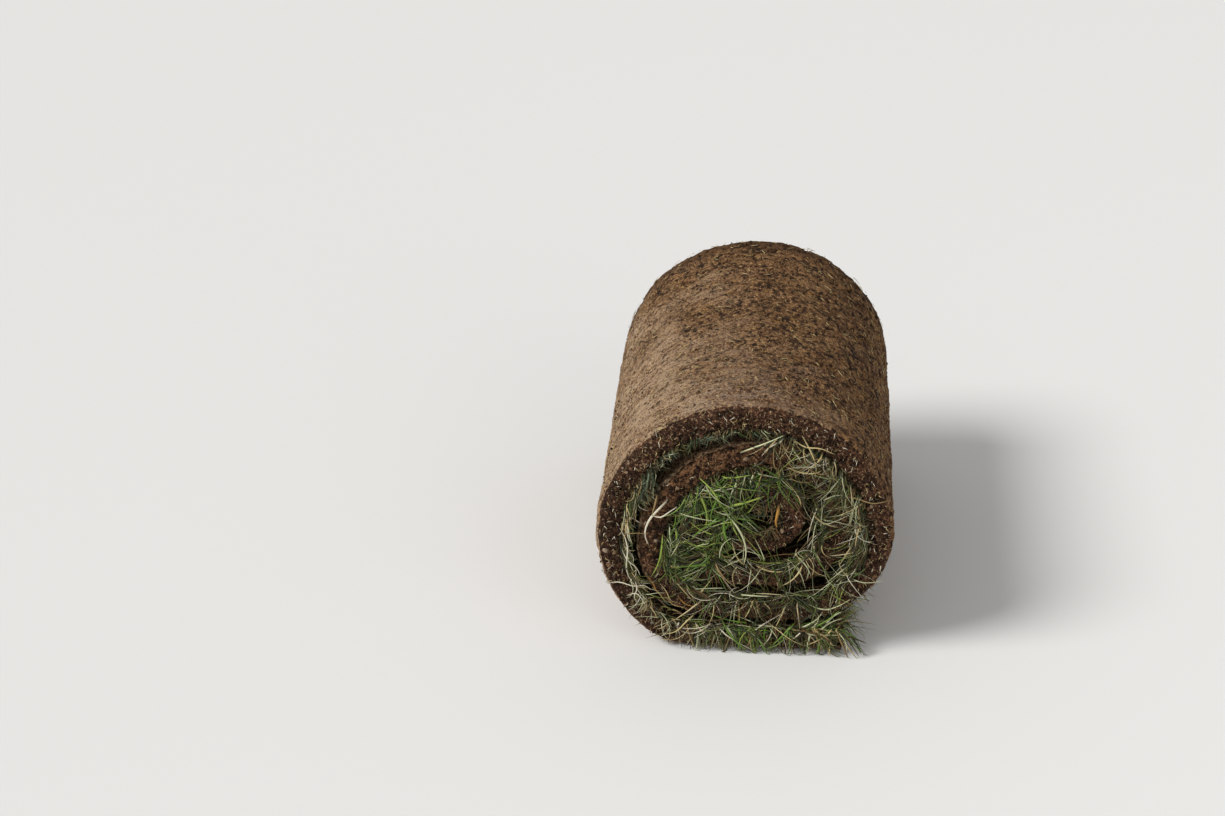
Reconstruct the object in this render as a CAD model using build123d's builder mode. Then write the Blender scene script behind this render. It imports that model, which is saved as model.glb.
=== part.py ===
"""A roll of turf: one strip cut from the field and wound up, soil outwards and grass inwards."""

import math
import os

from build123d import *

# Driving dimensions in mm. X runs across the roll, Y along it and Z up, with the floor at zero.
roll_length = 400.0  # width that the strip was cut at, so the length of the roll
soil_thickness = 25.0  # soil and roots of the strip
grass_gap = 16.0  # grass and thatch between two turns
pressed_gap = 9.0  # the same, where the roll bears on its own tail
outer_radius = 154.0  # outer turn, up the left side and over to the top
shoulder_radius = 146.0  # outer turn, from the top down to the right side
heel_radius = 60.0  # bend where the outer turn leaves the floor
axis_height = 130.0  # centre of the outer turn above the floor
tail_reach = 100.0  # cut end of the strip, to the right of that centre
foot_radius = 81.0  # second turn, from its bottom up to the left side
turns_inside = 2  # turns inside the outer one
inner_end_reach = 30.0  # the strip's last run, past its tightest bend
eye_lining = 3.0  # thatch left round the eye, inside that bend
turn_depth = 40.0  # how far in from each end the gaps between the turns are open
rim_wear = 4.0  # worn bevel along the soil side of the strip, at both ends

# Places that follow from them, measured from the centre of the outer turn. A bed is the level
# where a turn lies on the one below it, and a crown is the level of a turn's top.
turn_pitch = soil_thickness + grass_gap
heel_span = outer_radius - heel_radius
heel_angle = math.degrees(math.acos((axis_height - heel_radius) / heel_span))
heel_x = -heel_span * math.sin(math.radians(heel_angle))
first_bed = soil_thickness + pressed_gap - axis_height
foot_x = foot_radius + turn_pitch - outer_radius
foot_height = first_bed + foot_radius
crown_radius = outer_radius - turn_pitch - foot_height
crown_x = foot_x - foot_radius + crown_radius
side_radius = shoulder_radius - turn_pitch - crown_x
side_height = outer_radius - turn_pitch - side_radius

# The last turn folds back on itself, and the eye runs through the middle of that fold.
last_bed = first_bed + turns_inside * turn_pitch
last_crown = outer_radius - turns_inside * turn_pitch
fold_radius = (last_crown - last_bed) / 2
eye_height = (last_crown + last_bed) / 2
eye_radius = fold_radius - soil_thickness - eye_lining

# The box of the roll is centred on the part's origin, with the floor at its lowest point.
axis_x = (outer_radius - shoulder_radius) / 2
middle_section = Plane(origin=(axis_x, 0, axis_height), x_dir=(1, 0, 0), z_dir=(0, -1, 0))


def outer_turn(inset):
    """Draw one face of the outer turn, from the tail to where it dives under the second turn."""
    tail = Line((tail_reach, inset - axis_height), (heel_x, inset - axis_height))
    heel = JernArc(tail @ 1, tail % 1, heel_radius - inset, -heel_angle)
    flank = JernArc(heel @ 1, heel % 1, outer_radius - inset, heel_angle - 180)
    shoulder = JernArc(flank @ 1, flank % 1, shoulder_radius - inset, -90)
    under_radius = outer_radius - shoulder_radius - first_bed
    return JernArc(shoulder @ 1, shoulder % 1, under_radius - inset, -90)


def climb(under, shrink):
    """Draw a turn from its bed up over its left side to its crown."""
    bed = Line(under @ 1, (foot_x, (under @ 1).Y))
    foot = JernArc(bed @ 1, bed % 1, foot_radius - shrink, -90)
    return JernArc(foot @ 1, foot % 1, crown_radius - shrink, -90)


def strip_face(inset):
    """Draw one face of the whole strip, and give the run at its inner end."""
    under = outer_turn(inset)
    for turn in range(turns_inside - 1):
        shrink = inset + turn * turn_pitch
        crown = climb(under, shrink)
        side = JernArc(crown @ 1, crown % 1, side_radius - shrink, -90)
        next_bed = first_bed + (turn + 1) * turn_pitch
        under = JernArc(side @ 1, side % 1, side_height - next_bed - inset, -90)
    crown = climb(under, inset + (turns_inside - 1) * turn_pitch)
    fold = JernArc(crown @ 1, crown % 1, fold_radius - inset, -180)
    return Line(fold @ 1, fold @ 1 - (inner_end_reach, 0))


with BuildPart() as turf_roll:
    # The strip, seen from its near end: it winds from the tail up the left side and over the top.
    with BuildSketch(middle_section) as strip_section:
        with BuildLine():
            soil_side = strip_face(0)
            grass_side = strip_face(soil_thickness)
            Line(soil_side @ 1, grass_side @ 1)
            Line((tail_reach, -axis_height), (tail_reach, soil_thickness - axis_height))
        make_face()
    extrude(amount=roll_length / 2, both=True)

    # Pressed grass joins the turns, but for the open wedge between the tail and the turn above it.
    with BuildSketch(middle_section) as roll_outline:
        with BuildLine():
            under = outer_turn(0)
            tail_top = soil_thickness - axis_height
            wedge_root = ((under @ 1).X, tail_top)
            Polyline(under @ 1, wedge_root, (tail_reach, tail_top), (tail_reach, -axis_height))
        make_face()
    extrude(amount=roll_length / 2 - turn_depth, both=True)

    with BuildSketch(middle_section) as eye:
        with Locations((crown_x, eye_height)):
            Circle(eye_radius)
    extrude(amount=roll_length / 2, both=True, mode=Mode.SUBTRACT)

    # Soil crumbles off the rim of both ends. The bevel runs on along the whole soil side of the
    # strip, because each arc or run of it leads smoothly into the next.
    tail_rims = turf_roll.edges().filter_by(Axis.X).group_by(Axis.Z)[0]
    chamfer(tail_rims, rim_wear)

turf_roll.part.label = "turf_roll"
os.makedirs("parts", exist_ok=True)
export_step(turf_roll.part, "parts/turf_roll.step")
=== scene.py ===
import math

import bmesh
import bpy
import numpy as np
from mathutils import Euler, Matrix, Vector, noise


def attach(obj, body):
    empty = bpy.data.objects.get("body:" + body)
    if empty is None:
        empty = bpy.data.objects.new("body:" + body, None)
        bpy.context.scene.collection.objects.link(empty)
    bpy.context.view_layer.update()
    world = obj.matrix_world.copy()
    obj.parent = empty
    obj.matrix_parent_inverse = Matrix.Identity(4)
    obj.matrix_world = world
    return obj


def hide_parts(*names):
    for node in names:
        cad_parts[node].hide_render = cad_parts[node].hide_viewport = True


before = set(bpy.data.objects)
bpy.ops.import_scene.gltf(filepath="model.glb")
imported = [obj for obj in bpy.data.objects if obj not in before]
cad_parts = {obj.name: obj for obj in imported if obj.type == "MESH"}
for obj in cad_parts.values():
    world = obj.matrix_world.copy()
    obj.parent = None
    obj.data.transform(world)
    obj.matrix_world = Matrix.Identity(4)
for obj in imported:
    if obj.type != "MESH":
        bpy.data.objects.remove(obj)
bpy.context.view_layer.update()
scene = bpy.context.scene
print("frame loaded, nodes:", len(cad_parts))

# The camera stands where the photograph was taken from.
view = {
    "place": (0.0328, -2.2671, 1.4060),
    "turn": (61.45, 0.0, 4.585),  # degrees
    "lens": 70.53,
    "farthest": 50,
}
camera = bpy.data.objects.new("camera", bpy.data.cameras.new("camera"))
camera.location = view["place"]
camera.rotation_euler = Euler([math.radians(turn) for turn in view["turn"]])
camera.data.lens = view["lens"]
camera.data.clip_end = view["farthest"]
scene.collection.objects.link(camera)
scene.camera = camera

bakeMap = "OFBake"  # the name of the UV map that every piece brings and the finishes read; the UV map that the export looks for


class Wire:  # one output of a node, so that shader maths reads as plain sums
    def __init__(self, finish, socket):
        self.finish = finish
        self.socket = socket

    def sums(self, operation, first, second=0.0):
        settings = {"operation": operation}
        return self.finish.node("Math", settings, {0: first, 1: second})

    def __add__(self, other):
        return self.sums("ADD", self, other)

    __radd__ = __add__

    def __sub__(self, other):
        return self.sums("SUBTRACT", self, other)

    def __rsub__(self, other):
        return self.sums("SUBTRACT", other, self)

    def __mul__(self, other):
        return self.sums("MULTIPLY", self, other)

    __rmul__ = __mul__

    def through(self, operation):
        return self.sums(operation, self)

    def orMore(self, other):
        return self.sums("MAXIMUM", self, other)


class Finish:  # the nodes of a material or of the sky
    def __init__(self, owner, shader, hues=None):
        self.owner = owner
        self.hues = hues
        self.tree = owner.node_tree
        self.shader = self.tree.nodes[shader]

    def feed(self, socket, value):
        if isinstance(value, Wire):
            self.tree.links.new(value.socket, socket)
        elif isinstance(value, str):
            socket.default_value = self.hues[value]
        else:
            socket.default_value = value

    def node(self, kind, settings, sockets, output=0):
        made = self.tree.nodes.new("ShaderNode" + kind)
        for key, value in settings.items():
            if key == "stops":
                stops = made.color_ramp.elements
                while len(stops) < len(value):
                    stops.new(0.5)
                for stop, (place, colour) in zip(stops, value):
                    stop.position = place
                    stop.color = colour
            else:
                setattr(made, key, value)
        for key, value in sockets.items():
            self.feed(made.inputs[key], value)
        return Wire(self, made.outputs[output])

    def axis(self, place, name):
        return self.node("SeparateXYZ", {}, {"Vector": place}, name)

    def blend(self, mask, first, second):
        # a Mix node has its colours on sockets 6 and 7, and the mixed one on output 2
        sockets = {0: mask, 6: first, 7: second}
        return self.node("Mix", {"data_type": "RGBA"}, sockets, 2)

    def grain(self, place, size, detail=3.0, rough=0.6, skew=0.0):
        sockets = {"Vector": place, "Scale": 1 / size, "Detail": detail, "Roughness": rough}
        return self.node("TexNoise", {}, sockets | {"Distortion": skew})

    def step(self, value, low, high, most=1.0):
        settings = {"interpolation_type": "SMOOTHSTEP"}
        sockets = {"Value": value, "From Min": low, "From Max": high, "To Max": most}
        return self.node("MapRange", settings, sockets)

    def cover(self, colour, hue, value, low, high, most=1.0):
        # lays the hue over the colour as the value goes from low to high
        return self.blend(self.step(value, low, high, most), colour, hue)

    def read(self, name):
        return self.node("Attribute", {"attribute_name": name}, {}, "Fac")

    def paint(self, colour, bumps=None, height=0.0):
        self.feed(self.shader.inputs["Base Color"], colour)
        if bumps is not None:
            bump = self.node("Bump", {}, {"Height": bumps, "Distance": height})
            self.feed(self.shader.inputs["Normal"], bump)
        return self.owner


def newFinish(name, roughness, specular, hues=None):
    material = bpy.data.materials.new(name)
    material.use_nodes = True
    finish = Finish(material, "Principled BSDF", hues)
    finish.feed(finish.shader.inputs["Roughness"], roughness)
    finish.feed(finish.shader.inputs["Specular IOR Level"], specular)
    return finish


def shade(red, green, blue):
    # a colour as it is read on screen, made linear
    return (*[((part / 255 + 0.055) / 1.055) ** 2.4 for part in (red, green, blue)], 1.0)


def unit(ways):
    return ways / np.linalg.norm(ways, axis=-1, keepdims=True)


def keepAbove(spots, height):
    spots[..., 2] = np.maximum(spots[..., 2], height)


# The strip as it was wound, seen from its near end: from its tail on the floor to the left, up and
# over clockwise, to its inner end at the eye. A bend has its soil side's radius and its degrees.
strip = {
    "halfWidth": 0.2,
    "thickness": 0.025,
    "tail": (0.104, 0, 0),
    "outerTurn": [
        ("run", 0.16274, 0), ("bend", 0.060, 41.87), ("bend", 0.154, 138.13),
        ("bend", 0.146, 90), ("bend", 0.104, 90),
    ],
    "innerTurns": [
        ("run", 0.074, 0),
        ("bend", 0.081, 90), ("bend", 0.128, 90), ("bend", 0.090, 90), ("bend", 0.078, 90),
        ("run", 0.059, 0),
        ("bend", 0.040, 90), ("bend", 0.087, 90), ("bend", 0.043, 180), ("run", 0.030, 0),
    ],
    "outerRows": [-0.2, -0.19, -0.18, *np.linspace(-0.168, 0.168, 23), 0.18, 0.19, 0.2],
    "innerRows": [-0.2, -0.19, -0.178, -0.15, -0.06, 0.06, 0.15, 0.178, 0.19, 0.2],
    "layers": 3,
    "step": 0.0128,  # along the runs, before the faces are divided in four
    "sharpest": 15,  # degrees
    "weld": 0.00005,
}
halfWidth = strip["halfWidth"]
thickness = strip["thickness"]
allRuns = strip["outerTurn"] + strip["innerTurns"]
begin = (Vector(strip["tail"]), 0.0, 0.0)  # place, angle and length so far
layerNames = ("along", "depth", "angle")


def inward(angle):
    return Vector((math.sin(angle), 0, math.cos(angle)))


def heading(angle):
    return Vector((-math.cos(angle), 0, math.sin(angle)))


def inwards(angles):  # the same for many angles at once
    return np.stack([np.sin(angles), 0 * angles, np.cos(angles)], 1)


def headings(angles):
    return np.stack([-np.cos(angles), 0 * angles, np.sin(angles)], 1)


def walk(runs, start):
    # each run or bend, with the place, angle and length at which it begins, and then the end
    place, angle, along = start
    for kind, size, turn in runs:
        yield kind, size, turn, place, angle, along
        if kind == "run":
            place = place + heading(angle) * size
            along += size
        else:
            centre = place + inward(angle) * size
            angle += math.radians(turn)
            place = centre - inward(angle) * size
            along += size * math.radians(turn)
    yield "end", 0, 0, place, angle, along


def only(kind, parts):
    return [part for part in parts if isinstance(part, kind)]


def wind(runs, start, rows, depths, cuts=3):
    # The strip's cut face is a grid, and its rim is extruded and spun along the runs.
    bm = bmesh.new()
    alongLayer, depthLayer, angleLayer = (bm.verts.layers.float.new(name) for name in layerNames)

    def seat(verts, place, angle, along):  # on a straight cut across the strip
        for vert in verts:
            vert.co = place + inward(angle) * vert[depthLayer] + Vector((0, vert.co.y, 0))
            vert[alongLayer] = along
            vert[angleLayer] = angle

    bmesh.ops.create_grid(bm, x_segments=len(depths) - 1, y_segments=len(rows) - 1, size=1)
    for vert in bm.verts:
        vert[depthLayer] = depths[round((vert.co.x + 1) / 2 * (len(depths) - 1))]
        vert.co.y = rows[round((vert.co.y + 1) / 2 * (len(rows) - 1))]
    seat(bm.verts, *start)
    rim = [edge for edge in bm.edges if edge.is_boundary]
    lid = only(bmesh.types.BMVert, bmesh.ops.duplicate(bm, geom=bm.faces[:])["geom"])
    for kind, size, turn, place, angle, along in walk(runs, start):
        done = len(bm.verts)
        if kind == "run":
            steps = max(2, round(size / strip["step"]))
            for _ in range(steps):
                made = bmesh.ops.extrude_edge_only(bm, edges=rim)["geom"]
                fresh = set(only(bmesh.types.BMVert, made))
                edges = only(bmesh.types.BMEdge, made)
                rim = [edge for edge in edges if fresh.issuperset(edge.verts)]
                stride = heading(angle) * (size / steps)
                bmesh.ops.translate(bm, verts=list(fresh), vec=stride)
            bm.verts.ensure_lookup_table()
            for vert in bm.verts[done:]:
                vert[alongLayer] = along + (vert.co - place).dot(heading(angle))
        elif kind == "bend":
            sweep = math.radians(turn)
            steps = max(round(size * sweep / strip["step"]), round(turn / strip["sharpest"]))
            centre = place + inward(angle) * size
            spun = bmesh.ops.spin(
                bm, geom=rim, cent=centre, axis=(0, 1, 0), angle=sweep, steps=steps
            )
            rim = only(bmesh.types.BMEdge, spun["geom_last"])
            bm.verts.ensure_lookup_table()
            for vert in bm.verts[done:]:
                spoke = centre - vert.co
                gone = (math.atan2(spoke.x, spoke.z) - angle + 0.001) % math.tau - 0.001
                vert[alongLayer] = along + gone * size
                vert[angleLayer] = angle + gone
    seat(lid, place, angle, along)  # the lid closes the inner end of the sweep
    bmesh.ops.remove_doubles(bm, verts=bm.verts[:], dist=strip["weld"])
    bmesh.ops.recalc_face_normals(bm, faces=bm.faces[:])
    bmesh.ops.subdivide_edges(bm, edges=bm.edges[:], cuts=cuts, use_grid_fill=True)
    mesh = bpy.data.meshes.new("strip")
    bm.to_mesh(mesh)
    bm.free()
    mesh.shade_smooth()
    return mesh, (place, angle, along)


def pathAt(along, depth):
    # where a point lies that is this far along the strip and this deep in it, from its soil side
    depth = np.broadcast_to(depth, len(along))
    spots = np.zeros((len(along), 3))
    angles = np.zeros(len(along))
    for kind, size, _, place, angle, start in walk(allRuns, begin):
        here = along >= start
        gone = along[here] - start
        if kind == "run":
            angles[here] = angle
            base = np.array(place) + gone[:, None] * np.array(heading(angle))
            spots[here] = base + depth[here, None] * np.array(inward(angle))
        elif kind == "bend":
            centre = np.array(place + inward(angle) * size)
            angles[here] = angle + gone / size
            spots[here] = centre - inwards(angles[here]) * (size - depth[here, None])
    return spots, angles


def readArray(mesh, name):
    values = np.empty(len(mesh.vertices), np.float32)
    mesh.attributes[name].data.foreach_get("value", values)
    return values.astype(float)


def readPlaces(mesh):
    flat = np.empty(len(mesh.vertices) * 3, np.float32)
    mesh.vertices.foreach_get("co", flat)
    return flat.reshape(-1, 3).astype(float)


def writePlaces(mesh, places):
    mesh.vertices.foreach_set("co", places.astype(np.float32).ravel())


def rumble(spots, size, octaves=2):
    # each octave has 0.6 of the last one's height, and is 2.1 times as fine
    return np.array([noise.fractal(spot, 0.6, 2.1, octaves) for spot in map(Vector, spots / size)])


def pebbles(spots, size):
    # 1 in the middle of a crumb, falling to 0 between crumbs
    near = [noise.voronoi(spot)[0][0] for spot in map(Vector, spots / size)]
    return np.clip(1 - np.array(near), 0, 1)


relief = {  # heights, sizes and reaches, in metres
    "crumbs": 0.0042,
    "crumbSize": 0.0062,
    "lumps": 0.0022,
    "lumpSize": 0.010,
    "grit": 0.0013,
    "gritSize": 0.0052,
    "waves": 0.0022,
    "waveSize": 0.065,
    "pits": 0.0120,
    "thatchSide": 0.0020,
    "thatchDrop": 0.002,  # how far the ends fall back beside the thatch
    "thatchDepth": 0.004,
    "rimWear": 0.0030,
    "rimAcross": 0.008,  # how far in from the ends the rim is worn
    "rimDown": 0.006,  # and how far down the cut edge
    "skinDepth": 0.003,
    "skinEdge": 0.003,
    "endBand": 0.005,  # how far in from the ends the crumbs reach
    "seenBand": 0.05,  # further in, only the outside has relief
    "floorGap": 0.0004,
}


def crumble(mesh):
    # The ends and the rims break up into crumbs, and the outside only into grit and pits.
    places = readPlaces(mesh)
    along, depth, angle = (readArray(mesh, name) for name in layerNames)
    toEnd = halfWidth - np.abs(places[:, 1])
    atEnd = np.exp(-((toEnd / relief["endBand"]) ** 2))
    atTail = along < 0.0001
    skin = np.clip(1 - depth / relief["skinDepth"], 0, 1)
    thatch = relief["thatchDepth"]
    under = np.clip((depth - thickness + thatch) / thatch, 0, 1)
    seen = (toEnd < relief["seenBand"]) | (skin > 0) | atTail
    seeds = places[seen]
    lumps, grit, crumbs, waves = (np.zeros(len(places)) for _ in range(4))
    lumps[seen] = rumble(seeds, relief["lumpSize"])
    grit[seen] = rumble(seeds + 3.1, relief["gritSize"], 1)  # moved, so that no two agree
    crumbs[seen] = pebbles(seeds + 7.7, relief["crumbSize"])
    waves[seen] = rumble(seeds + 1.3, relief["waveSize"])

    # the outside sinks at its rims and in its pits, more of them at the back and the right
    rim = np.clip(1 - toEnd / relief["rimAcross"], 0, 1) ** 2 * (1.0 + 0.7 * lumps)
    sink = skin * (relief["waves"] * waves + relief["grit"] * grit + relief["rimWear"] * rim)
    rough = np.clip(0.55 + places[:, 1] * 1.6 + places[:, 0] * 1.2 + waves * 0.8, 0.25, 1.2)
    pits = np.clip(-lumps - 0.2, 0, 0.3) * np.clip(0.8 + grit, 0, 1) * rough
    sink += skin * relief["pits"] * pits
    sink += under * relief["thatchSide"] * lumps

    # the ends stand out in crumbs and fall back at their edges
    push = relief["crumbs"] * (crumbs - 0.6) + relief["lumps"] * lumps
    rim = np.clip(1 - depth / relief["rimDown"], 0, 1) ** 2
    push -= relief["rimWear"] * rim * (1.2 + 0.6 * lumps)
    push -= relief["thatchDrop"] * under
    places += inwards(angle) * sink[:, None]
    places[:, 1] += np.sign(places[:, 1]) * atEnd * push
    places[atTail, 0] += push[atTail]
    keepAbove(places, relief["floorGap"])
    writePlaces(mesh, places)
    skin *= np.clip(toEnd / relief["skinEdge"], 0, 1)
    for name, values in {"skin": skin, "crumbs": crumbs}.items():
        mesh.attributes.new(name, "FLOAT", "POINT").data.foreach_set("value", values)
    mesh.update()


# On the strip's map its length lies across, and its sides and ends one above the other, in metres.
chart = {
    "height": 0.9,
    "margin": 0.002,
    "farEnd": 0.406,
    "grassSide": 0.862,  # which runs down from there
    "nearEnd": 0.866,
    "lids": (0.002, 0.022),  # the tail's cut and the inner end's, as shares of the map's width
    "lidWidth": 0.7,
    "rest": (0.045, 0.95),  # where the rest begins, and how wide it is
}


def unfold(mesh, total, start, half, low, high):
    corners = np.empty(len(mesh.loops), np.int32)
    mesh.loops.foreach_get("vertex_index", corners)
    across = readPlaces(mesh)[corners, 1]
    along = (readArray(mesh, "along")[corners] - start) / total
    depth = readArray(mesh, "depth")[corners]
    lid = np.repeat(np.ptp(along.reshape(-1, 4), axis=1) < 1e-5, 4)
    soilSide = np.repeat((depth.reshape(-1, 4) < low + 1e-4).all(1), 4)
    grassSide = np.repeat((depth.reshape(-1, 4) > high - 1e-4).all(1), 4)
    row = np.clip(across, -half, half) + halfWidth + chart["margin"]
    layer = np.clip(depth - low, 0, high - low)
    up = np.where(across > 0, chart["farEnd"], chart["nearEnd"]) + layer
    up = np.where(grassSide, chart["grassSide"] - row, np.where(soilSide, row, up))
    up = np.where(lid, row, up) / chart["height"]
    lidPlace = np.where(along < 0.5, *chart["lids"]) + layer * chart["lidWidth"]
    wide = np.where(lid, lidPlace, chart["rest"][0] + along * chart["rest"][1])
    layout = mesh.uv_layers.new(name=bakeMap)
    layout.data.foreach_set("uv", np.stack([wide, up], 1).astype(np.float32).ravel())
    for name in layerNames[1:]:  # the finish reads only the first
        mesh.attributes.remove(mesh.attributes[name])


def addPiece(name, mesh, material):
    mesh.name = name
    mesh.materials.append(material)
    piece = bpy.data.objects.new(name, mesh)
    scene.collection.objects.link(piece)
    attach(piece, "root")
    mesh.calc_loop_triangles()
    print(name, len(mesh.loop_triangles), "triangles")
    return piece


soilHues = {
    "dust": shade(190, 165, 137),
    "greyDust": shade(146, 128, 113),
    "tan": shade(155, 117, 78),
    "brown": shade(118, 83, 54),
    "dark": shade(79, 54, 36),
    # painted shade, for pits, cracks and the hollows between crumbs
    "pit": shade(42, 30, 21),
    "fleck": shade(200, 160, 110),
    "paleFleck": shade(190, 164, 132),
    "redEdge": shade(122, 84, 60),
    "edge": shade(72, 50, 37),
    "darkEdge": shade(32, 23, 18),
    "ruddy": shade(142, 104, 70),
}


def makeEarth():
    finish = newFinish("earth", 0.95, 0.12, soilHues)
    place = finish.node("TexCoord", {}, {}, "Object")
    leftRight = finish.axis(place, "X")
    across = finish.axis(place, "Y")
    along = finish.read("along")
    lined = finish.node("CombineXYZ", {}, {"X": along * 0.25, "Y": across})
    broad = finish.grain(place, 0.07, 3)
    lumps = finish.grain(place, 0.016, 4, 0.7)
    grit = finish.grain(place, 0.0062, 4, 0.75)
    fine = finish.grain(place, 0.0026, 2, 0.7)
    streaks = finish.grain(lined, 0.009, 3, 0.65)

    # brown soil with tan in it, dusty towards the near rim and the left, greyer at the top
    colour = finish.cover("dark", "brown", lumps + broad * 0.6, 0.62, 1.0)
    colour = finish.cover(colour, "tan", grit + streaks * 0.5, 0.68, 0.95)
    dust = finish.cover("dust", "greyDust", leftRight + broad * 0.1, -0.03, 0.07)
    dusty = finish.step(across * -1.3 - leftRight * 2.6 + broad * 1.4 - 0.66, -0.15, 0.55)
    powder = finish.step(streaks * 0.5 + fine * 0.6, 0.42, 0.68)
    colour = finish.blend(dusty * powder, colour, dust)
    colour = finish.cover(colour, "fleck", fine, 0.56, 0.65, 0.78)
    # dark specks: painted shade in small pores
    colour = finish.cover(colour, "dark", fine + streaks * 0.2, 0.54, 0.45, 0.65)
    # dark where the far rim is worn, and painted shade in pits and cracks
    worn = across + lumps * 0.06 - leftRight.through("ABSOLUTE") * 0.03
    colour = finish.cover(colour, "dark", worn, 0.190, 0.215, 0.75)
    pitted = grit + lumps * 0.25 + dusty * 0.07 - leftRight * 0.12
    cracked = finish.step(lumps + dusty * 0.1, 0.38, 0.31)
    # pits and cracks, sunk in the bumps and painted near-black as shade
    sunk = finish.step(pitted, 0.595, 0.515).orMore(cracked)
    colour = finish.blend(sunk * 0.9, colour, "pit")

    # the cut edges are damper and redder, most of all the second turn's, with painted shade
    # darkening them at the left
    cut = finish.cover("darkEdge", "edge", grit + broad * 0.4, 0.5, 0.85)
    cut = finish.cover(cut, "redEdge", fine + lumps * 0.4, 0.62, 0.85)
    cut = finish.cover(cut, "paleFleck", fine + streaks * 0.25, 0.725, 0.80, 0.85)
    secondTurn = finish.step(along, 1.08, 1.25) * finish.step(along, 1.62, 1.45)
    ruddy = secondTurn * finish.step(fine + grit * 0.5, 0.67, 0.87, 0.85)
    cut = finish.blend(ruddy, cut, "ruddy")
    # painted shade in the hollows between the crumbs
    cut = finish.cover(cut, "pit", finish.read("crumbs"), 0.46, 0.22, 0.85)
    # painted shade: darker at the left
    cut = finish.cover(cut, "darkEdge", leftRight, -0.105, -0.135, 0.4)
    edge = finish.step(finish.read("skin") + lumps * 0.4 - 0.2, 0.65, 0.35)
    bumps = grit * 1.2 + lumps * 0.5 + fine * 0.8 - sunk * 0.35
    return finish.paint(finish.blend(edge, colour, cut), bumps, 0.0042)


earth = makeEarth()
soilDepths = np.linspace(0, thickness, strip["layers"] + 1)
outerMesh, dive = wind(strip["outerTurn"], begin, strip["outerRows"], soilDepths)
innerMesh, stripEnd = wind(strip["innerTurns"], dive, strip["innerRows"], soilDepths)
diveAt, stripLength = dive[2], stripEnd[2]
crumble(outerMesh)
crumble(innerMesh)
unfold(outerMesh, diveAt, 0.0, halfWidth, 0.0, thickness)
unfold(innerMesh, stripLength - diveAt, diveAt, halfWidth, 0.0, thickness)
soilOuter = addPiece("soilOuter", outerMesh, earth)
addPiece("soilInner", innerMesh, earth)
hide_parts("turf_roll")
print("strip wound,", round(stripLength, 3), "m of it")

# Grass and thatch pressed flat between the turns, from a little way in from each end
mat = {
    "rows": (-0.163, -0.152, -0.08, 0, 0.08, 0.152, 0.163),
    "depths": (-0.001, 0.006, 0.013),  # from the strip's grass side, before it fills its gap
    "underNextTurn": (0.045, 1.66),  # from where to where along the strip a turn lies on it
    "lead": 0.12,  # the next turn is at least this much further along
    "overlap": 0.0005,
    "thickest": 0.024,
    "onTail": 0.006,  # how thick it is where the tail lies open
    # past the last turn it fills the fold, the eye and the pocket beside the strip's inner end
    "lateSpots": (1.690, 1.700, 1.752, 1.7586, 1.81, 1.83, 1.895),
    "lateGaps": (0.0165, 0.0148, 0.0148, 0.034, 0.034, 0.030, 0.0175),
    "ragged": 0.009,
    "tuftSize": 0.012,
    "stations": 420,  # places along the strip at which the gap is measured
    # dark colours, partly painted shade in the gap between the turns; hollow is painted shade
    # between stems
    "dark": shade(46, 38, 25),
    "green": shade(56, 58, 30),
    "stem": shade(116, 98, 62),
    "hollow": shade(22, 17, 12),
}


def pressMat():
    half = mat["rows"][-1]
    depths = np.array(mat["depths"]) + thickness
    mesh, _ = wind(allRuns, begin, mat["rows"], depths, cuts=1)
    places = readPlaces(mesh)
    along, depth, angle = (readArray(mesh, name) for name in layerNames)
    stations = np.linspace(0, stripLength, mat["stations"])
    soilSide, _ = pathAt(stations, 0.0)
    ownSide, _ = pathAt(along, thickness)
    gaps = np.interp(along, mat["lateSpots"], mat["lateGaps"])
    low, high = mat["underNextTurn"]
    for vert in np.flatnonzero((along > low) & (along < high)):
        nextTurn = soilSide[stations > along[vert] + mat["lead"]]
        gap = np.linalg.norm(nextTurn - ownSide[vert], axis=1).min()
        gaps[vert] = min(mat["overlap"] + gap, mat["thickest"])
    gaps[along < low] = mat["onTail"]
    top = mat["depths"][-1]
    share = np.clip((depth - thickness) / top, 0, 1) * (gaps - top)
    places += inwards(angle) * share[:, None]
    atEnd = np.abs(places[:, 1]) > half - 0.0001
    torn = mat["ragged"] * rumble(places[atEnd], mat["tuftSize"])
    places[atEnd, 1] += np.sign(places[atEnd, 1]) * torn
    writePlaces(mesh, places)
    unfold(mesh, stripLength, 0.0, half, depths[0], depths[-1])
    return mesh


def makeMat():
    finish = newFinish("pressedGrass", 0.85, 0.15, mat)
    place = finish.node("TexCoord", {}, {}, "Object")
    clumps = finish.grain(place, 0.012, 3)
    stems = finish.grain(place, 0.0035, 3, 0.7, 1.5)
    # pressed dead grass, kept dark partly as painted shade in the gap between the turns
    colour = finish.cover("dark", "green", clumps, 0.4, 0.65)
    colour = finish.cover(colour, "stem", stems, 0.54, 0.72)
    # painted shade in the hollows between the stems
    colour = finish.cover(colour, "hollow", stems, 0.46, 0.36)
    return finish.paint(colour, stems + clumps, 0.003)


addPiece("pressedGrass", pressMat(), makeMat())

# Blades, stems, roots and crumbs are joined meshes: one template, repeated along many spines.
# The column of the map on which one lies is its place on a ramp of hues.
chance = np.random.default_rng(27)
hueColumns = 64
down = np.array([0, 0, -1.0])
ends = ((-1, "Near"), (1, "Far"))
reachable = 2.058  # how far along the strip anything grows or clings
stemGap = 0.0015  # a blade's or stem's spine stays this far above the floor
skinGap = 0.0003  # and its surface this far


def between(low, high, count):
    return chance.uniform(low, high, count)


def jitter(spread, count):
    return chance.normal(0, spread, count)


def columnOf(hues):
    return np.clip((hues * hueColumns).astype(int), 0, hueColumns - 1) + 0.5


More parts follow.
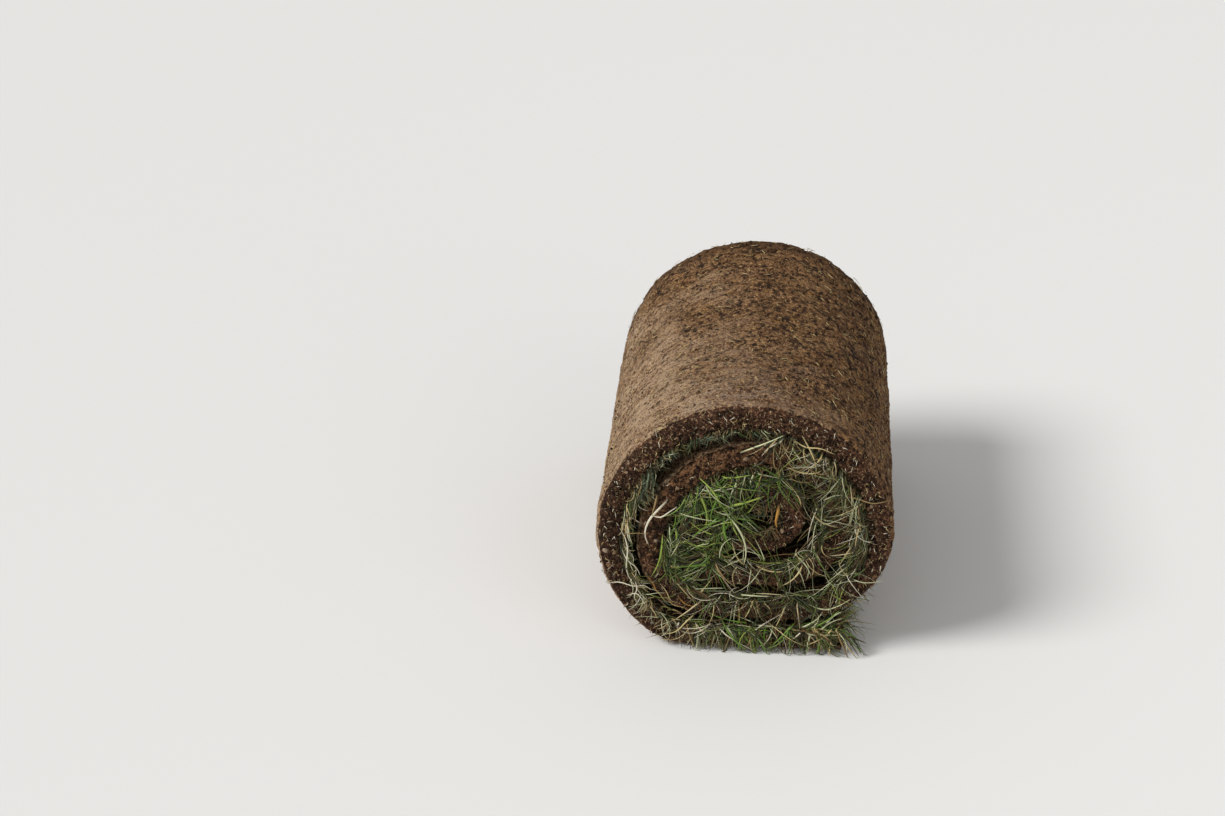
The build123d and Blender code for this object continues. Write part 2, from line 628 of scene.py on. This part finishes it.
def fromArrays(spots, faces, places):
    # faces is a list of equal-sided groups, each with the map's place of every corner
    mesh = bpy.data.meshes.new("joined")
    mesh.vertices.add(len(spots))
    writePlaces(mesh, spots)
    corners = np.concatenate([group.ravel() for group in faces])
    sides = np.concatenate([np.full(group.size // group.shape[-1], group.shape[-1])
                            for group in faces])
    mesh.loops.add(len(corners))
    mesh.loops.foreach_set("vertex_index", corners.astype(np.int32))
    mesh.polygons.add(len(sides))
    starts = np.concatenate([[0], np.cumsum(sides)[:-1]])
    mesh.polygons.foreach_set("loop_start", starts.astype(np.int32))
    layout = mesh.uv_layers.new(name=bakeMap)
    flat = np.concatenate([group.reshape(-1, 2) for group in places])
    layout.data.foreach_set("uv", flat.astype(np.float32).ravel())
    mesh.update(calc_edges=True)
    mesh.shade_smooth()
    return mesh


# A sliver has three corners in each ring. Its map is one column, read from the root to the tip.
sliver = {
    "crosses": (0.36, 0.0, -0.36),  # the three corners, from the middle of the column
    "root": 0.03,
    "length": 0.94,
    "foot": 0.005,
    "swells": (0, 0.35, 0.85),  # where along it the three widths of its waist are
}


def sliverFaces(joints):
    # its sides, then its tip and foot: for every corner its number and its place on the map
    def corner(joint, edge):
        high = sliver["root"] + sliver["length"] * joint / joints
        return 3 * joint + edge, sliver["crosses"][edge], high

    tip = (3 * joints, 0, sliver["root"] + sliver["length"])
    sides, caps = [], []
    for here, after in ((0, 1), (1, 2), (2, 0)):
        for joint in range(joints - 1):
            sides.append([corner(joint, here), corner(joint, after),
                          corner(joint + 1, after), corner(joint + 1, here)])
        caps.append([corner(joints - 1, here), corner(joints - 1, after), tip])
    caps.append([corner(0, 2), (1, 0, sliver["foot"]), corner(0, 0)])
    return np.array(sides), np.array(caps)


def strands(spine, facing, widths, hues, thick=0.25, waist=(0.7, 1.0, 0.45)):
    # a closed three-sided sliver along every spine, from its root to its tip
    joints, count = len(spine) - 1, spine.shape[1]
    ways = unit(np.gradient(spine, axis=0))
    rings = []
    for joint in range(joints):
        side = unit(np.cross(facing, ways[joint]))
        rise = np.cross(ways[joint], side)
        grow = np.interp(joint / joints, sliver["swells"], waist)
        half = (widths * grow / 2)[:, None]
        here = spine[joint]
        ring = [here + side * half, here + rise * half * 2 * thick, here - side * half]
        rings.append(np.stack(ring, 1))
    spots = np.concatenate([np.stack(rings, 1).reshape(count, -1, 3), spine[-1][:, None]], 1)
    keepAbove(spots, skinGap)
    faces, places = [], []
    columns = columnOf(hues)[:, None, None]
    for shape in sliverFaces(joints):
        first = np.arange(count)[:, None, None] * spots.shape[1]
        faces.append(first + shape[..., 0].astype(int))
        wide = (columns + shape[..., 1]) / hueColumns
        places.append(np.stack([wide, np.broadcast_to(shape[..., 2], wide.shape)], -1))
    return fromArrays(spots.reshape(-1, 3), faces, places)


def crooked(roots, ways, lengths, bends):
    # short stems, each of their joints bent a little off its way
    spine = [roots]
    for bend in bends:
        spine.append(spine[-1] + unit(ways + bend) * lengths / len(bends))
    return np.stack(spine)


def growStems(kind, roots, ways):
    count = kind["count"]
    length = between(*kind["length"], count)[:, None]
    spine = crooked(roots, ways, length, jitter(kind["bend"], (3, count, 3)))
    keepAbove(spine, kind["floorGap"])
    hues = pickHues(kind["hues"], count)
    facing = jitter(1, (count, 3))
    return strands(spine, facing, between(*kind["width"], count), hues, kind["thick"])


blades = {
    "joints": 7,
    "clump": 5,  # blades that lean together
    "clumpWidth": 0.008,
    "shallowest": 0.003,  # how far in from the end the roots are
    "deepest": 0.010,
    "freed": 0.003,  # a blade begins to lean this far inside the end
    "freeing": 0.006,  # and leans freely this much further out
    "lean": 1.1,
    "standsOut": (0.001, 0.014),
    "furthest": 0.019,
    "overEdge": 0.05,  # blades lean off their own cut edge by this much at least
    "fringe": (0.5, 0.92),  # but not where the strip's underside is this level, on either turn
    "secondTurn": 0.97,
    "core": 1.4,
}


def sprout(roots, hidden, lean, lengths, sag, reach, curl):
    # A blade is straight while it is between the turns, and lies over once it is clear of the end.
    spine = [roots, roots + hidden]
    way = unit(hidden)
    side = np.sign(roots[:, 1])
    stride = (lengths / blades["joints"])[:, None]
    for _ in range(blades["joints"]):
        here = spine[-1]
        out = here[:, 1] * side - halfWidth
        clear = np.clip((out + blades["freed"]) / blades["freeing"], 0, 1)[:, None]
        way = unit(way + clear * (blades["lean"] * lean + down * sag[:, None]))
        tooFar = (out > reach) & (way[:, 1] * side > 0)
        way[tooFar, 1] *= -0.15
        way = unit(way)
        turned = np.stack([
            lean[:, 0] * np.cos(curl) + lean[:, 2] * np.sin(curl),
            lean[:, 1],
            lean[:, 2] * np.cos(curl) - lean[:, 0] * np.sin(curl),
        ], 1)
        lean = np.where(clear > 0.5, turned, lean)
        after = here + way * stride
        keepAbove(after, stemGap)
        most = halfWidth + blades["furthest"]
        after[:, 1] = np.clip(after[:, 1], -most, most)
        spine.append(after)
    return np.stack(spine)


# The colours of blades, stems and roots, each at its place on one ramp
bladeHues = {
    # pale straw and white root, also used as painted highlight
    "white": (0.00, shade(242, 234, 210)),
    "straw": (0.07, shade(216, 194, 138)),
    "dry": (0.14, shade(156, 130, 84)),
    "brown": (0.20, shade(102, 78, 52)),
    "orange": (0.26, shade(184, 134, 60)),
    # dark dead leaf, also painted shade among the blades
    "dull": (0.33, shade(56, 46, 29)),
    "olive": (0.41, shade(102, 102, 50)),
    "leaf": (0.49, shade(86, 110, 52)),
    "bright": (0.57, shade(106, 142, 50)),
    "lime": (0.65, shade(158, 178, 78)),
    # near black: painted shade among the blades
    "deep": (0.73, shade(20, 31, 16)),
    "grey": (0.81, shade(118, 126, 92)),
    "cool": (0.89, shade(92, 108, 88)),
    # pale leaf brightened as painted highlight
    "silver": (0.97, shade(212, 214, 170)),
}
# most mixes put in deep and dull blades as painted shade, and silver and white ones as painted
# highlight
mixes = {
    "straw": "white straw straw dry dull dull brown olive",
    "olive": "straw dull dull dull brown olive leaf deep deep deep silver",
    "fresh": "leaf leaf bright bright silver olive deep deep deep deep lime",
    "mixed": "straw dry dull dull olive leaf bright deep deep deep silver",
    "cool": "cool cool grey silver deep deep dull olive",
    "brown": "brown brown dull dry",
    "withered": "white straw straw straw dry dry olive silver deep dull brown",
    "pale": "white silver silver lime dull deep olive dull",
}

# What grows out between the turns, by how far along the strip it is rooted: how many, how far off
# the strip they come out, how long and wide in millimetres, which way they lie in degrees from
# straight down to the right and how widely that varies, how much they sag, and their hues.
outerTufts = [
    (0.003, 0.060, 130, 12, (24, 54), (1.0, 2.4), (35, 50), 0.40, "mixed"),  # right of the tail
    (0.050, 0.165, 90, 8, (22, 56), (0.7, 1.6), (0, 60), 0.60, "straw"),  # bottom fringe
    (0.080, 0.165, 80, 8, (22, 56), (1.1, 2.4), (0, 65), 0.60, "fresh"),
    (0.165, 0.300, 70, 8, (10, 28), (0.7, 1.6), (-10, 50), 0.30, "straw"),
    (0.300, 0.430, 50, 8, (12, 30), (0.8, 1.8), (-10, 50), 0.30, "mixed"),
    (0.330, 0.430, 60, 8, (12, 30), (0.8, 1.8), (-10, 45), 0.30, "straw"),  # yellow, on the left
    (0.400, 0.450, 60, 8, (16, 34), (0.9, 1.8), (-20, 40), 0.30, "cool"),
    (0.440, 0.620, 110, 4, (6, 20), (0.7, 1.5), (50, 75), 0.10, "cool"),  # roof of the open gap
    (0.600, 0.800, 110, 14, (16, 44), (0.8, 1.9), (0, 70), 0.25, "withered"),  # upper right
    (0.620, 0.800, 80, 14, (16, 48), (0.6, 1.4), (0, 75), 0.25, "cool"),
    (0.800, 0.970, 120, 14, (16, 42), (0.8, 2.0), (-20, 65), 0.35, "olive"),
    (0.620, 0.970, 130, 14, (22, 56), (0.5, 1.0), (0, 85), 0.25, "pale"),  # wisps, thin pale blades, partly painted highlight
    (0.010, 0.400, 130, 8, (16, 40), (0.5, 1.0), (0, 70), 0.35, "pale"),
]
innerTufts = [
    (0.970, 1.110, 100, 10, (20, 46), (0.9, 2.1), (0, 80), 0.50, "olive"),
    (1.110, 1.420, 170, 14, (24, 58), (1.1, 2.5), (20, 80), 0.20, "fresh"),  # bright grass
    (1.110, 1.420, 110, 14, (22, 54), (0.8, 2.0), (10, 80), 0.25, "mixed"),
    (1.400, 1.640, 110, 14, (20, 48), (0.8, 2.0), (0, 95), 0.25, "olive"),
    (1.640, 1.780, 70, 12, (22, 48), (1.0, 2.2), (0, 110), 0.25, "mixed"),
    (1.740, 1.860, 110, 12, (22, 52), (1.1, 2.5), (-20, 100), 0.25, "fresh"),
    (1.860, 2.055, 60, 4, (10, 24), (0.9, 1.8), (0, 70), 0.20, "brown"),  # round the eye
    (0.970, 1.860, 260, 12, (24, 60), (0.5, 1.0), (0, 100), 0.20, "pale"),  # wisps, thin pale blades, partly painted highlight
]
bareSpots = [(0.047, 0.156, 0.015), (0.092, 0.134, 0.011)]  # x, z and radius
bareShare = 0.12  # of the blades there stay


def pickHues(names, count):
    return chance.choice([bladeHues[name][0] for name in names.split()], count)


def growTuft(side, tuft):
    low, high, count, rise, lengths, widths, (turn, spread), sag, hues = tuft
    clumps = max(3, count // blades["clump"])
    clump = chance.integers(0, clumps, count)
    along = between(low, high, clumps)[clump] + jitter(blades["clumpWidth"], count)
    along = np.clip(along, 0.002, reachable)
    roots, angles = pathAt(along, thickness - 0.001)
    ins, heads = inwards(angles), headings(angles)
    outward = np.array([0, side, 0.0])

    # the hidden stretch comes out somewhere in the gap, and the rest leans down and to the right
    deep = between(blades["shallowest"], blades["deepest"] + rise / 1000, count)
    roots[:, 1] = side * (halfWidth - deep)
    rises = np.minimum(between(0.0005, rise / 1000, count), deep * 1.3)
    hidden = outward * deep[:, None] + ins * rises[:, None]
    hidden += heads * (deep * between(-0.4, 0.4, count))[:, None]
    swing = 0.5 * jitter(1, clumps)[clump] + 0.85 * jitter(1, count)
    swing = np.radians(turn + spread * swing)
    leans = np.stack([np.sin(swing), 0 * swing, -np.cos(swing)], 1)

    # on the outer turns, only the fringe of the underside hangs over its own cut edge
    across = (leans * ins).sum(1)
    onSide = ins[:, 2] < np.where(along < blades["secondTurn"], *blades["fringe"])
    astray = (across < blades["overEdge"]) & onSide & (along < blades["core"])
    mend = np.where(astray, blades["overEdge"] - across * 1.3, 0)
    leans = unit(leans + mend[:, None] * ins)
    length = (lengths[0] + (lengths[1] - lengths[0]) * chance.beta(1.6, 2.0, count)) / 1000
    curl = np.radians(jitter(4, clumps)[clump] + jitter(9, count))
    sags = sag * between(0.4, 1.5, count)
    reach = between(*blades["standsOut"], count)
    spine = sprout(roots, hidden, leans, length, sags, reach, curl)

    kept = np.ones(count, bool)
    for x, z, radius in bareSpots:
        gone = np.hypot(spine[..., 0] - x, spine[..., 2] - z)
        kept &= (gone > radius).all(0) | (chance.random(count) < bareShare)
    spine, clump = spine[:, kept], clump[kept]
    count = len(clump)
    facing = -outward + jitter(0.55, (count, 3))
    tint = pickHues(mixes[hues], clumps)[clump]
    tint = np.where(chance.random(count) < 0.4, tint, pickHues(mixes[hues], count))
    tint = tint + jitter(0.008, count)
    return spine, facing, between(*widths, count) / 1000, tint


def growGrass(side, chosen):
    grown = [growTuft(side, tuft) for tuft in chosen]
    spine = np.concatenate([part[0] for part in grown], 1)
    rest = [np.concatenate([part[k] for part in grown]) for k in (1, 2, 3)]
    return strands(spine, *rest)


thatch = {
    "count": 3000,
    "depth": (-0.001, 0.014),  # how far in from the end they stand
    "length": (0.006, 0.018),
    "width": (0.0009, 0.0018),
    "thick": 0.6,  # as a share of the width
    "bend": 0.3,
    "floorGap": 0.0015,
    "hues": "straw dry dry brown brown dull dull olive leaf",
}


def growThatch(side):
    # short dead stems that stand on the grass side, just inside the end
    count = thatch["count"]
    roots, angles = pathAt(between(0.004, 2.055, count), thickness - 0.001)
    roots[:, 1] = side * (halfWidth - between(*thatch["depth"], count))
    ways = inwards(angles) * between(0.2, 1, count)[:, None]
    ways = ways + headings(angles) * jitter(0.8, (count, 1))
    ways = unit(ways + np.array([0, side, 0]) * between(-0.2, 0.9, count)[:, None])
    return growStems(thatch, roots, ways)


bladeMarks = {
    "rib": shade(40, 50, 24),
    "root": shade(96, 82, 54),
    "tip": shade(176, 160, 104),
}


def hueNodes(finish, hues):
    # the ramp's colour at this column's middle, and the places across and up the map
    mapped = finish.node("UVMap", {"uv_map": bakeMap}, {})
    wide = finish.axis(mapped, "X") * hueColumns
    middle = wide.through("FLOOR") * (1 / hueColumns) + 0.5 / hueColumns
    colour = finish.node("ValToRGB", {"stops": hues}, {"Fac": middle})
    return colour, wide, finish.axis(mapped, "Y")


def makeBlade(name, hues, roughness, dullRoot):
    finish = newFinish(name, roughness, 0.35, bladeMarks)
    colour, wide, high = hueNodes(finish, hues)
    rib = finish.step((wide.through("FRACT") - 0.5).through("ABSOLUTE"), 0.02, 0.12)
    colour = finish.blend((1 - rib) * 0.35, colour, "rib")
    colour = finish.cover(colour, "root", high, 0.30, 0.0, dullRoot)
    colour = finish.cover(colour, "tip", high, 0.75, 1.0, 0.35)
    return finish.paint(colour)


tail = {
    "count": 1500,
    "rooted": (0.002, 0.056),
    "joints": 6,
    "length": (0.020, 0.052),
    "width": (0.0010, 0.0023),
    "sag": (0.05, 0.45),
    "turnAbove": (0.046, 0.138, 0.1055),  # x, z and radius of the underside that presses on it
    "pastEnds": 0.004,
    "hues": "dry dull olive olive leaf bright grey deep straw",
}


def growTail():
    # grass on the strip's tail, pressed out sideways from under the turn that lies on it
    count = tail["count"]
    roots, _ = pathAt(between(*tail["rooted"], count), thickness - 0.001)
    roots[:, 1] = between(-halfWidth, halfWidth, count)
    rightward, sideways = between(0.3, 1.3, count), jitter(0.35, count)
    way = unit(np.stack([rightward, sideways, between(0.3, 1.1, count)], 1))
    stride = between(*tail["length"], count)[:, None] / tail["joints"]
    sag = between(*tail["sag"], count)[:, None]
    x, z, radius = tail["turnAbove"]
    widest = halfWidth + tail["pastEnds"]
    spine = [roots]
    for _ in range(tail["joints"]):
        way = unit(way + down * sag + jitter(0.08, (count, 3)))
        after = spine[-1] + way * stride
        spoke = (after - np.array([x, 0, z])) * [1, 0, 1]
        reach = np.linalg.norm(spoke, axis=1)
        pressed = reach < radius
        after[pressed] += spoke[pressed] * (radius / reach[pressed] - 1)[:, None]
        after[:, 1] = np.clip(after[:, 1], -widest, widest)
        keepAbove(after, stemGap)
        spine.append(after)
    hues = pickHues(tail["hues"], count)
    facing = np.array([0.6, 0, 0.8]) + jitter(0.5, (count, 3))
    return strands(np.stack(spine), facing, between(*tail["width"], count), hues)


ramp = list(bladeHues.values())
# the dead stems take the blades' ramp at 0.4 of its brightness: painted shade among the blades
shadedRamp = [(place, (*[0.4 * part for part in hue[:3]], 1.0)) for place, hue in ramp]
blade = makeBlade("grassBlade", ramp, 0.42, 0.75)
shadedDeadStem = makeBlade("shadedDeadStem", shadedRamp, 0.8, 0.3)
for side, where in ends:
    addPiece("grassOuter" + where, growGrass(side, outerTufts), blade)
    addPiece("grassInner" + where, growGrass(side, innerTufts), blade)
    addPiece("thatch" + where, growThatch(side), shadedDeadStem)
addPiece("grassTail", growTail(), blade)
print("grass grown")


def scatterCrumbs(spots, sizes, hues):
    # every crumb is a small ball of twenty faces, knocked out of shape
    bm = bmesh.new()
    bmesh.ops.create_icosphere(bm, subdivisions=1, radius=0.5)
    ball = np.array([vert.co[:] for vert in bm.verts])
    sides = np.array([[vert.index for vert in face.verts] for face in bm.faces])
    bm.free()
    count = len(spots)
    axes = unit(jitter(1, (count, 3)))
    others = unit(np.cross(axes, jitter(1, (count, 3))))
    turns = np.stack([axes, others, np.cross(axes, others)], 1)
    knocked = ball * (1 + jitter(0.16, (count, len(ball), 1)))
    knocked = knocked * between(0.6, 1.1, (count, 1, 3)) @ turns
    verts = spots[:, None] + knocked * sizes[:, None, None]
    keepAbove(verts, skinGap)
    rows = between(0.05, 0.9, (count, len(sides), 1)) + np.array([0, 0, 0.03])
    wide = (columnOf(hues)[:, None, None] + np.array([-0.3, 0.3, 0.0])) / hueColumns
    places = np.stack([np.broadcast_to(wide, rows.shape), rows], -1)
    faces = np.arange(count)[:, None, None] * len(ball) + sides
    mesh = fromArrays(verts.reshape(-1, 3), [faces], [places])
    mesh.shade_flat()
    return mesh


crumbHues = [
    (0.00, shade(30, 22, 18)),
    (0.30, shade(58, 40, 31)),
    (0.55, shade(92, 64, 48)),
    (0.75, shade(126, 94, 70)),
    (0.90, shade(160, 138, 112)),
    (1.00, shade(196, 184, 166)),
]
crumbShade = shade(40, 28, 22)


def makeCrumb():
    finish = newFinish("soilCrumb", 0.95, 0.1)
    colour, _, high = hueNodes(finish, crumbHues)
    return finish.paint(finish.blend(high * 0.5, colour, crumbShade))


crumbs = {
    "onEnds": 2600,
    "onTail": 650,
    "onSkin": 2600,
    "endSizes": (0.0026, 0.42, 0.0012, 0.0065),  # usual, spread, smallest and largest
    "tailSizes": (0.0026, 0.42, 0.0012, 0.0060),
    "skinSizes": (0.0018, 0.35, 0.0009, 0.0038),
    "tailCut": 0.1035,
    "outside": (0.168, 0.968),  # the stretch of the strip that lies open
    "sunk": 0.0003,
    "skinRows": 0.192,
    "paleShare": 0.15,
}


def crumbSizes(usual, spread, smallest, largest, count):
    return np.clip(chance.lognormal(math.log(usual), spread, count), smallest, largest)


def crumbsOnEnd(side):
    count = crumbs["onEnds"]
    deep = 0.0035 + 0.021 * chance.beta(1.1, 1.1, count)
    spots, _ = pathAt(between(0.0, reachable, count), deep)
    spots[:, 1] = side * (halfWidth + chance.normal(0.0002, 0.0012, count))
    sizes = crumbSizes(*crumbs["endSizes"], count)
    sizes *= np.interp(deep, (0.003, 0.009), (0.5, 1.0))  # smaller at the worn rim
    pale = chance.random(count) < crumbs["paleShare"]
    hues = np.where(pale, between(0.68, 0.92, count), chance.beta(1.3, 4.0, count))
    return scatterCrumbs(spots, sizes, hues)


def crumbsOnTail():
    count = crumbs["onTail"]
    out = crumbs["tailCut"] + jitter(0.001, count)
    row = between(-0.197, 0.197, count)
    spots = np.stack([out, row, between(0.004, 0.0235, count)], 1)
    sizes = crumbSizes(*crumbs["tailSizes"], count)
    return scatterCrumbs(spots, sizes, chance.beta(1.4, 3.0, count))


def crumbsOnSkin():
    count = crumbs["onSkin"]
    spots, _ = pathAt(between(*crumbs["outside"], count), crumbs["sunk"])
    spots[:, 1] = between(-crumbs["skinRows"], crumbs["skinRows"], count)
    sizes = crumbSizes(*crumbs["skinSizes"], count)
    return scatterCrumbs(spots, sizes, chance.beta(3.0, 2.2, count) * 0.9)


crumbFinish = makeCrumb()
for side, where in ends:
    addPiece("crumbs" + where, crumbsOnEnd(side), crumbFinish)
addPiece("crumbsTail", crumbsOnTail(), crumbFinish)
addPiece("crumbsOutside", crumbsOnSkin(), crumbFinish)
print("crumbs strewn")

# Straw and dead roots pressed into the outside
flecks = {
    "count": 2400,
    "along": (0.17, 0.96),
    "rows": 0.197,
    "raised": 0.0003,
    "length": (0.0030, 0.015),
    "width": (0.0005, 0.0011),
    "hues": "straw straw dry dry dry dry orange brown",
}


def layFlecks():
    count = flecks["count"]
    spots, angles = pathAt(between(*flecks["along"], count), -flecks["raised"])
    spots[:, 1] = between(-flecks["rows"], flecks["rows"], count)
    outs = -inwards(angles)
    turns = np.radians(jitter(50, count))[:, None]
    ways = headings(angles) * np.cos(turns) + np.array([0, 1, 0]) * np.sin(turns)
    shortest, longest = flecks["length"]
    length = between(0, 1, count) ** 2 * (longest - shortest) + shortest  # most of them short
    bends = jitter(0.22, (3, count, 1)) * np.cross(ways, outs)
    spine = crooked(spots, ways, length[:, None], bends)
    hues = pickHues(flecks["hues"], count)
    return strands(spine, outs, between(*flecks["width"], count), hues, 0.4, (0.9, 1.0, 0.7))


addPiece("strawFlecks", layFlecks(), blade)

hairs = {
    "count": 2800,
    "outerShare": 0.45,  # of them grow on the outer turn, besides those that fall there
    "outerTurn": (0.15, 0.97),
    "anywhere": (0.0, 2.055),
    "depth": (0.005, 0.023),
    "rootedIn": 0.002,
    "length": (0.003, 0.011),
    "width": (0.0006, 0.0012),
    "thick": 0.7,
    "bend": 0.35,
    "floorGap": 0.001,
    "hues": "white straw dry brown brown brown dull dull",
}


def growHairs(side):
    # fine root ends that stand out of the cut edges
    count = hairs["count"]
    onOuter = chance.random(count) < hairs["outerShare"]
    outer, anywhere = between(*hairs["outerTurn"], count), between(*hairs["anywhere"], count)
    spots, _ = pathAt(np.where(onOuter, outer, anywhere), between(*hairs["depth"], count))
    spots[:, 1] = side * (halfWidth - hairs["rootedIn"])
    ways = jitter(0.8, (count, 3)) + np.array([0, side * 0.45, 0])
    ways = unit(ways + down * 0.2)
    return growStems(hairs, spots, ways)


for side, where in ends:
    addPiece("rootHairs" + where, growHairs(side), blade)

# Roots and stems that stand out on the near end, listed one by one: places across the end in
# millimetres as x, z and how far they stand out of it, then width and hue.
strays = [
    # a forked white root at the left and fine ones below it
    ([(-77, 176, 1), (-86, 167, 5), (-93, 160, 6), (-99, 148, 6), (-101, 134, 5), (-95, 121, 3)],
     2.6, "white"),
    ([(-93, 160, 6), (-84, 158, 8), (-74, 166, 6), (-66, 170, 2)], 1.7, "white"),
    ([(-88, 182, 2), (-90, 172, 5), (-93, 160, 6)], 2.0, "dry"),
    ([(-129, 146, 0), (-121, 138, 5), (-115, 118, 6), (-121, 95, 5), (-113, 76, 4), (-99, 64, 2)],
     1.7, "white"),
    ([(-138, 74, 1), (-124, 80, 5), (-110, 72, 6), (-100, 78, 4), (-92, 66, 1)], 1.3, "white"),
    ([(-118, 60, 2), (-108, 68, 6), (-101, 58, 6), (-96, 44, 3)], 1.2, "white"),
    ([(-112, 84, 1), (-106, 72, 6), (-112, 60, 5), (-104, 50, 2)], 1.1, "white"),
    ([(-124, 118, 1), (-118, 104, 5), (-108, 98, 5), (-104, 84, 2)], 1.3, "white"),
    # the top and beside the eye
    ([(-6, 234, 2), (8, 243, 6), (22, 250, 7), (38, 257, 3)], 2.4, "silver"),
    ([(46, 250, 1), (58, 244, 6), (72, 246, 7), (88, 236, 3)], 1.6, "straw"),
    ([(54, 256, 2), (64, 240, 7), (70, 222, 6), (68, 206, 2)], 1.5, "straw"),
    ([(34, 176, 1), (33, 168, 6), (31, 158, 7), (33, 150, 4)], 3.4, "orange"),
    ([(26, 172, 1), (28, 163, 5), (25, 154, 4)], 2.6, "brown"),
    # the bright tuft in the middle
    ([(-23, 168, 2), (-10, 158, 9), (0, 142, 11), (4, 122, 9), (0, 102, 4)], 2.2, "silver"),
    ([(-23, 168, 2), (-26, 182, 8), (-34, 196, 9), (-47, 206, 5)], 2.8, "lime"),
    ([(-23, 168, 2), (-14, 176, 8), (2, 182, 10), (20, 188, 6)], 2.9, "lime"),
    ([(-23, 168, 2), (-30, 156, 8), (-42, 148, 8), (-54, 132, 4)], 2.6, "bright"),
    ([(-20, 166, 2), (-21, 150, 9), (-17, 134, 10), (-8, 120, 5)], 2.6, "bright"),
    # the right side and the bottom
    ([(96, 188, 2), (110, 190, 6), (126, 184, 8), (143, 187, 4)], 1.5, "dry"),
    ([(-22, 40, 1), (-14, 26, 8), (-2, 12, 11), (8, 3, 8)], 2.2, "bright"),
    ([(24, 38, 1), (38, 30, 8), (52, 20, 11), (66, 12, 8)], 1.6, "straw"),
    ([(-46, 44, 2), (-58, 34, 8), (-66, 22, 8), (-80, 16, 4)], 1.5, "straw"),
    ([(66, 60, 2), (84, 56, 8), (98, 62, 8), (112, 70, 3)], 1.5, "silver"),
    # dry roots at the lower left, and stems across the hollow there
    ([(-97, 84, 1), (-90, 76, 4), (-87, 66, 4), (-80, 62, 1)], 1.3, "orange"),
    ([(-92, 71, 1), (-84, 66, 4), (-79, 57, 5), (-70, 54, 2)], 1.4, "dry"),
    ([(-84, 76, 1), (-76, 68, 5), (-74, 58, 5), (-64, 54, 2)], 1.2, "straw"),
    ([(-78, 60, 1), (-70, 52, 5), (-60, 52, 5), (-52, 44, 2)], 1.3, "dry"),
    ([(-66, 62, 1), (-58, 54, 5), (-48, 52, 4), (-40, 46, 2)], 1.2, "orange"),
    ([(-90, 58, -4), (-84, 56, 1), (-78, 50, 3), (-72, 46, 0)], 1.8, "brown"),
    ([(-88, 52, -6), (-80, 53, -2), (-74, 49, 0), (-68, 50, -3)], 1.6, "cool"),
    ([(-84, 44, -4), (-79, 49, 1), (-73, 47, 3), (-67, 42, 0)], 2.0, "olive"),
    ([(-78, 40, -4), (-72, 46, 1), (-66, 45, 3), (-58, 38, 0)], 1.7, "dry"),
    ([(-72, 36, -4), (-67, 42, 1), (-60, 41, 3), (-52, 35, 0)], 2.0, "brown"),
    ([(-64, 34, -4), (-59, 39, 1), (-52, 37, 3), (-46, 32, 0)], 1.7, "olive"),
]
strayJoints = 10


def layStrays():
    spine = []
    for laid, _, _ in strays:
        x, z, out = np.array(laid, float).T / 1000
        spots = np.stack([x, -halfWidth - out, z], 1)
        gone = np.concatenate([[0], np.cumsum(np.linalg.norm(np.diff(spots, axis=0), axis=1))])
        steps = np.linspace(0, gone[-1], strayJoints + 1)
        line = np.stack([np.interp(steps, gone, axis) for axis in spots.T], 1)
        for _ in range(2):  # rounds the corners
            line[1:-1] = (line[:-2] + 2 * line[1:-1] + line[2:]) / 4
        spine.append(line)
    widths = np.array([width for _, width, _ in strays]) / 1000
    hues = np.array([bladeHues[hue][0] for _, _, hue in strays])
    facing = np.array([0, -1.0, 0]) + jitter(0.3, (len(strays), 3))
    return strands(np.stack(spine, 1), facing, widths, hues, 0.35, (0.9, 1.0, 0.5))


addPiece("straysNear", layStrays(), blade)
print("roots and straw laid")

# A plain pale floor and soft light
studio = {
    "floorSize": 6,
    "floorHue": (0.8, 0.79, 0.77, 1),
    "lookAt": (0, 0, 0.12),
    "skyLight": 0.41,  # how bright the sky is as a light
    "backdrop": 0.82,  # and as it is seen
}
lights = {  # kind, place, how wide, and how strong; a wide sun lights the floor evenly
    "key": ("SUN", (-3.6, -1.62, 3.68), math.radians(22), 2.6),
    "fill": ("AREA", (1.8, -2.2, 1.6), 2.0, 11.0),
}
floorMesh = bpy.data.meshes.new("floor")
bm = bmesh.new()
bmesh.ops.create_grid(bm, x_segments=1, y_segments=1, size=studio["floorSize"])
bm.to_mesh(floorMesh)
bm.free()
floorMesh.materials.append(newFinish("paleFloor", 0.9, 0.1).paint(studio["floorHue"]))
floor = bpy.data.objects.new("floor", floorMesh)
scene.collection.objects.link(floor)

for name, (kind, spot, wide, power) in lights.items():
    lamp = bpy.data.objects.new(name, bpy.data.lights.new(name, kind))
    setattr(lamp.data, "angle" if kind == "SUN" else "size", wide)
    lamp.data.energy = power
    lamp.location = spot
    aim = Vector(studio["lookAt"]) - lamp.location
    lamp.rotation_euler = aim.to_track_quat("-Z", "Y").to_euler()
    scene.collection.objects.link(lamp)

world = bpy.data.worlds.new("studio")
scene.world = world
world.use_nodes = True
sky = Finish(world, "Background")
rays = ["Is " + kind + " Ray" for kind in ("Camera", "Glossy", "Transmission")]
seen, glossy, clear = (sky.node("LightPath", {}, {}, ray) for ray in rays)
seen = seen.orMore(glossy).orMore(clear)
extra = studio["backdrop"] - studio["skyLight"]
sky.feed(sky.shader.inputs["Strength"], seen * extra + studio["skyLight"])
sky.feed(sky.shader.inputs["Color"], (1, 1, 1, 1))
scene.view_settings.view_transform = "Standard"
print("stage lit")
